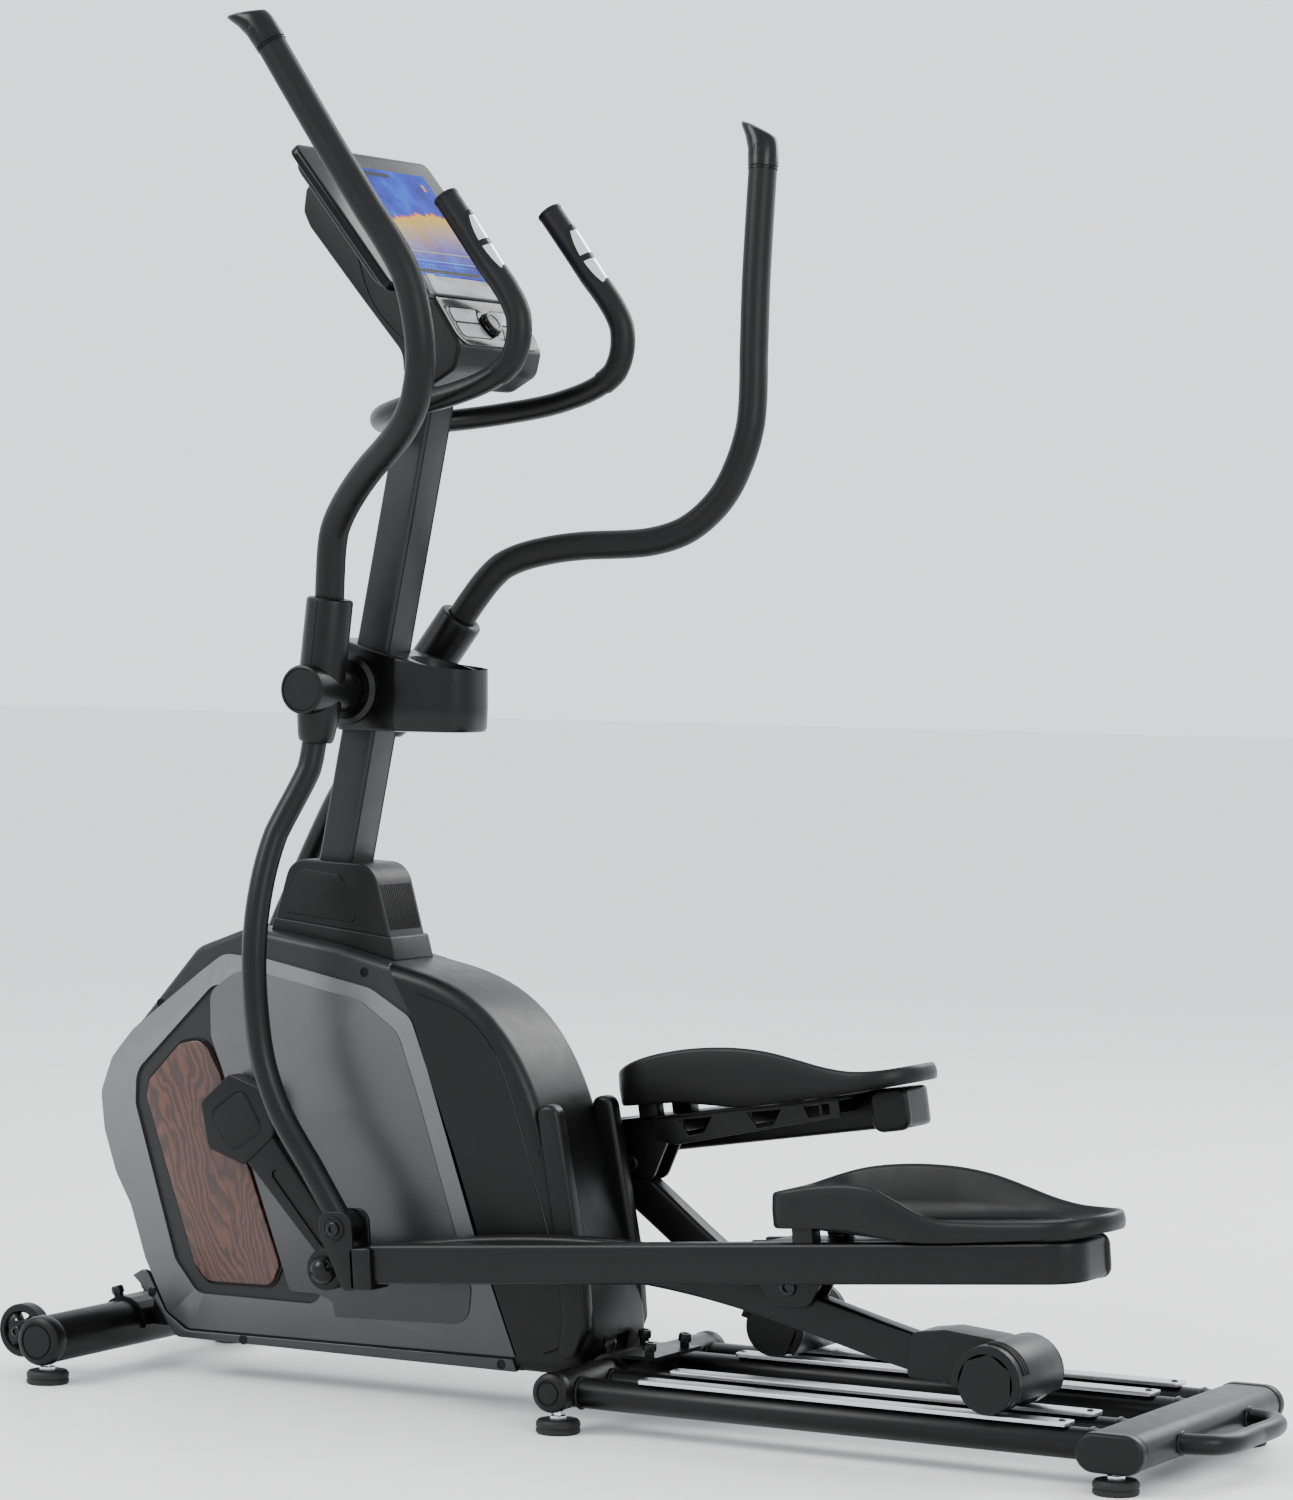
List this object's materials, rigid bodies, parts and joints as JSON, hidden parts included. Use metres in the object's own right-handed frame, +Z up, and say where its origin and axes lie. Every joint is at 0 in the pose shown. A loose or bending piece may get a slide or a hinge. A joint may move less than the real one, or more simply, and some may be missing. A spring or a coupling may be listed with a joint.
{
  "type": "elliptical trainer",
  "caption": "Front-drive elliptical trainer: crank housing, swinging handlebars, long pedal arms on roller arms, rear aluminium tracks, console mast and fixed pulse grips.",
  "frame": {"origin": "on the floor under the middle of the machine's overall length and width", "axes": "+X from the front of the machine to the rear where the user steps on, +Y towards the machine's side at the user's right hand, +Z up"},
  "size_m": [1.71, 0.583, 1.7686],
  "materials": {
    "frame_black": "satin black powder coat",
    "black_plastic": "fine-grained satin",
    "silver_panel": "metallic silver-grey satin",
    "walnut": "satin dark walnut",
    "track_aluminium": "brushed along the track",
    "steel": "machined",
    "grip_rubber": "matt",
    "screen": "glossy",
    "grey_plastic": "satin"
  },
  "bodies": {
    "base": {"front_stabilizer": "frame_black", "main_frame": "frame_black", "mid_cross_tube": "frame_black", "rear_cross_tube": "frame_black", "lift_handle": "frame_black", "mast": "frame_black", "fixed_handlebar": "frame_black", "rail_tube_1": "frame_black", "track_1": "track_aluminium", "rail_tube_2": "frame_black", "track_2": "track_aluminium", "rail_tube_3": "frame_black", "track_3": "track_aluminium", "rail_tube_4": "frame_black", "track_4": "track_aluminium", "mast_boot": "black_plastic", "bottle_holder": "black_plastic", "console_body": "black_plastic", "housing_rear_band": "black_plastic", "console_screen": "screen", "swing_axle": "steel", "drive_belt": "grip_rubber", "housing_left": "silver_panel", "wood_panel_left": "walnut", "housing_right": "silver_panel", "wood_panel_right": "walnut"},
    "crank_set": {"crank_axle": "steel", "drive_pulley": "black_plastic", "crank_arm_left": "frame_black", "crank_arm_right": "frame_black"},
    "flywheel_rotor": {"flywheel": "steel"},
    "idler": {"idler_pulley": "steel"},
    "brake_shoe": {"magnet_brake": "steel"},
    "knob": {"console_knob": "black_plastic"},
    "swing_left": {"swing_arm_left": "frame_black", "handlebar_left": "grip_rubber"},
    "pedal_set_left": {"pedal_arm_left": "frame_black", "pedal_left": "black_plastic"},
    "roller_carrier_left": {"roller_axle_left": "steel"},
    "roller_beam_left": {"roller_arm_left": "frame_black"},
    "rollers_left": {"roller_pair_left": "black_plastic"},
    "wheel_left": {"transport_wheel_left": "black_plastic"},
    "leveller_front_left": {"foot_front_left": "grip_rubber"},
    "leveller_middle_left": {"foot_middle_left": "grip_rubber"},
    "leveller_rear_left": {"foot_rear_left": "grip_rubber"},
    "key_upper_left": {"button_upper_left": "grey_plastic"},
    "key_lower_left": {"button_lower_left": "grey_plastic"},
    "swing_right": {"swing_arm_right": "frame_black", "handlebar_right": "grip_rubber"},
    "pedal_set_right": {"pedal_arm_right": "frame_black", "pedal_right": "black_plastic"},
    "roller_carrier_right": {"roller_axle_right": "steel"},
    "roller_beam_right": {"roller_arm_right": "frame_black"},
    "rollers_right": {"roller_pair_right": "black_plastic"},
    "wheel_right": {"transport_wheel_right": "black_plastic"},
    "leveller_front_right": {"foot_front_right": "grip_rubber"},
    "leveller_middle_right": {"foot_middle_right": "grip_rubber"},
    "leveller_rear_right": {"foot_rear_right": "grip_rubber"},
    "key_upper_right": {"button_upper_right": "grey_plastic"},
    "key_lower_right": {"button_lower_right": "grey_plastic"}
  },
  "joints": [
    {"name": "crank_turn", "type": "hinge", "parent": "base", "child": "crank_set", "pos_m": [-0.529, 0, 0.347], "axis": [0, 1, 0], "continuous": true},
    {"name": "flywheel_turn", "type": "hinge", "parent": "base", "child": "flywheel_rotor", "pos_m": [-0.29, 0, 0.228], "axis": [0, 1, 0], "continuous": true},
    {"name": "idler_turn", "type": "hinge", "parent": "base", "child": "idler", "pos_m": [-0.398, 0, 0.2025], "axis": [0, 1, 0], "continuous": true},
    {"name": "brake_tilt", "type": "hinge", "parent": "base", "child": "brake_shoe", "pos_m": [-0.1585, 0, 0.222], "axis": [0, 1, 0], "range_deg": [0, 5]},
    {"name": "left_swing", "type": "hinge", "parent": "base", "child": "swing_left", "pos_m": [-0.402, 0, 0.906], "axis": [0, 1, 0], "range_deg": [-4, 35]},
    {"name": "left_pedal_tilt", "type": "hinge", "parent": "swing_left", "child": "pedal_set_left", "pos_m": [-0.31573, -0.185, 0.23089], "axis": [0, 1, 0], "range_deg": [-40.32, 4.79]},
    {"name": "left_travel", "type": "slide", "parent": "base", "child": "roller_carrier_left", "axis": [1, 0, 0], "range_m": [-0.4692, 0.0554]},
    {"name": "left_arm_tilt", "type": "hinge", "parent": "roller_carrier_left", "child": "roller_beam_left", "pos_m": [0.57786, -0.129, 0.112], "axis": [0, 1, 0], "range_deg": [-3.09, 25.49]},
    {"name": "left_roller_turn", "type": "hinge", "parent": "roller_carrier_left", "child": "rollers_left", "pos_m": [0.57786, -0.129, 0.112], "axis": [0, 1, 0], "range_deg": [-712.01, 83.14]},
    {"name": "right_swing", "type": "hinge", "parent": "base", "child": "swing_right", "pos_m": [-0.402, 0, 0.906], "axis": [0, 1, 0], "range_deg": [-35.1, 4.1]},
    {"name": "right_pedal_tilt", "type": "hinge", "parent": "swing_right", "child": "pedal_set_right", "pos_m": [-0.67617, 0.185, 0.28306], "axis": [0, 1, 0], "range_deg": [-4.79, 40.32]},
    {"name": "right_travel", "type": "slide", "parent": "base", "child": "roller_carrier_right", "axis": [1, 0, 0], "range_m": [-0.0554, 0.4692]},
    {"name": "right_arm_tilt", "type": "hinge", "parent": "roller_carrier_right", "child": "roller_beam_right", "pos_m": [0.16357, 0.129, 0.112], "axis": [0, 1, 0], "range_deg": [-25.49, 3.09]},
    {"name": "right_roller_turn", "type": "hinge", "parent": "roller_carrier_right", "child": "rollers_right", "pos_m": [0.16357, 0.129, 0.112], "axis": [0, 1, 0], "range_deg": [-83.14, 712.01]},
    {"name": "left_transport_wheel_turn", "type": "hinge", "parent": "base", "child": "wheel_left", "pos_m": [-0.82, -0.165, 0.057], "axis": [0, 1, 0], "continuous": true},
    {"name": "left_front_foot_turn", "type": "hinge", "parent": "base", "child": "leveller_front_left", "pos_m": [-0.746, -0.217, 0.01], "axis": [0, 0, 1], "continuous": true},
    {"name": "left_middle_foot_turn", "type": "hinge", "parent": "base", "child": "leveller_middle_left", "pos_m": [0, -0.187, 0.01], "axis": [0, 0, 1], "continuous": true},
    {"name": "left_rear_foot_turn", "type": "hinge", "parent": "base", "child": "leveller_rear_left", "pos_m": [0.748, -0.198, 0.01], "axis": [0, 0, 1], "continuous": true},
    {"name": "right_transport_wheel_turn", "type": "hinge", "parent": "base", "child": "wheel_right", "pos_m": [-0.82, 0.165, 0.057], "axis": [0, 1, 0], "continuous": true},
    {"name": "right_front_foot_turn", "type": "hinge", "parent": "base", "child": "leveller_front_right", "pos_m": [-0.746, 0.217, 0.01], "axis": [0, 0, 1], "continuous": true},
    {"name": "right_middle_foot_turn", "type": "hinge", "parent": "base", "child": "leveller_middle_right", "pos_m": [0, 0.187, 0.01], "axis": [0, 0, 1], "continuous": true},
    {"name": "right_rear_foot_turn", "type": "hinge", "parent": "base", "child": "leveller_rear_right", "pos_m": [0.748, 0.198, 0.01], "axis": [0, 0, 1], "continuous": true},
    {"name": "knob_turn", "type": "hinge", "parent": "base", "child": "knob", "pos_m": [-0.226, 0, 1.372], "axis": [0.8305, 0, 0.557], "continuous": true},
    {"name": "upper_left_button_press", "type": "slide", "parent": "base", "child": "key_upper_left", "axis": [-0.8305, 0, -0.557], "range_m": [0, 0.0015], "stiffness_N_per_m": 200, "springref_m": -0.0005},
    {"name": "lower_left_button_press", "type": "slide", "parent": "base", "child": "key_lower_left", "axis": [-0.8305, 0, -0.557], "range_m": [0, 0.0015], "stiffness_N_per_m": 200, "springref_m": -0.0005},
    {"name": "upper_right_button_press", "type": "slide", "parent": "base", "child": "key_upper_right", "axis": [-0.8305, 0, -0.557], "range_m": [0, 0.0015], "stiffness_N_per_m": 200, "springref_m": -0.0005},
    {"name": "lower_right_button_press", "type": "slide", "parent": "base", "child": "key_lower_right", "axis": [-0.8305, 0, -0.557], "range_m": [0, 0.0015], "stiffness_N_per_m": 200, "springref_m": -0.0005}
  ],
  "couplings": [
    {"joint": "left_pedal_tilt", "follows": "left_swing", "ratio": -1.1463},
    {"joint": "left_travel", "follows": "left_swing", "m_per_rad": -0.7648},
    {"joint": "left_arm_tilt", "follows": "left_swing", "ratio": 0.7227},
    {"joint": "left_roller_turn", "follows": "left_swing", "ratio": -20.286},
    {"joint": "right_swing", "follows": "left_swing", "ratio": -1},
    {"joint": "right_pedal_tilt", "follows": "left_swing", "ratio": 1.1463},
    {"joint": "right_travel", "follows": "left_swing", "m_per_rad": 0.7648},
    {"joint": "right_arm_tilt", "follows": "left_swing", "ratio": -0.7227},
    {"joint": "right_roller_turn", "follows": "left_swing", "ratio": 20.286},
    {"joint": "flywheel_turn", "follows": "crank_turn", "ratio": 6.5625},
    {"joint": "idler_turn", "follows": "crank_turn", "ratio": -5.8333}
  ]
}
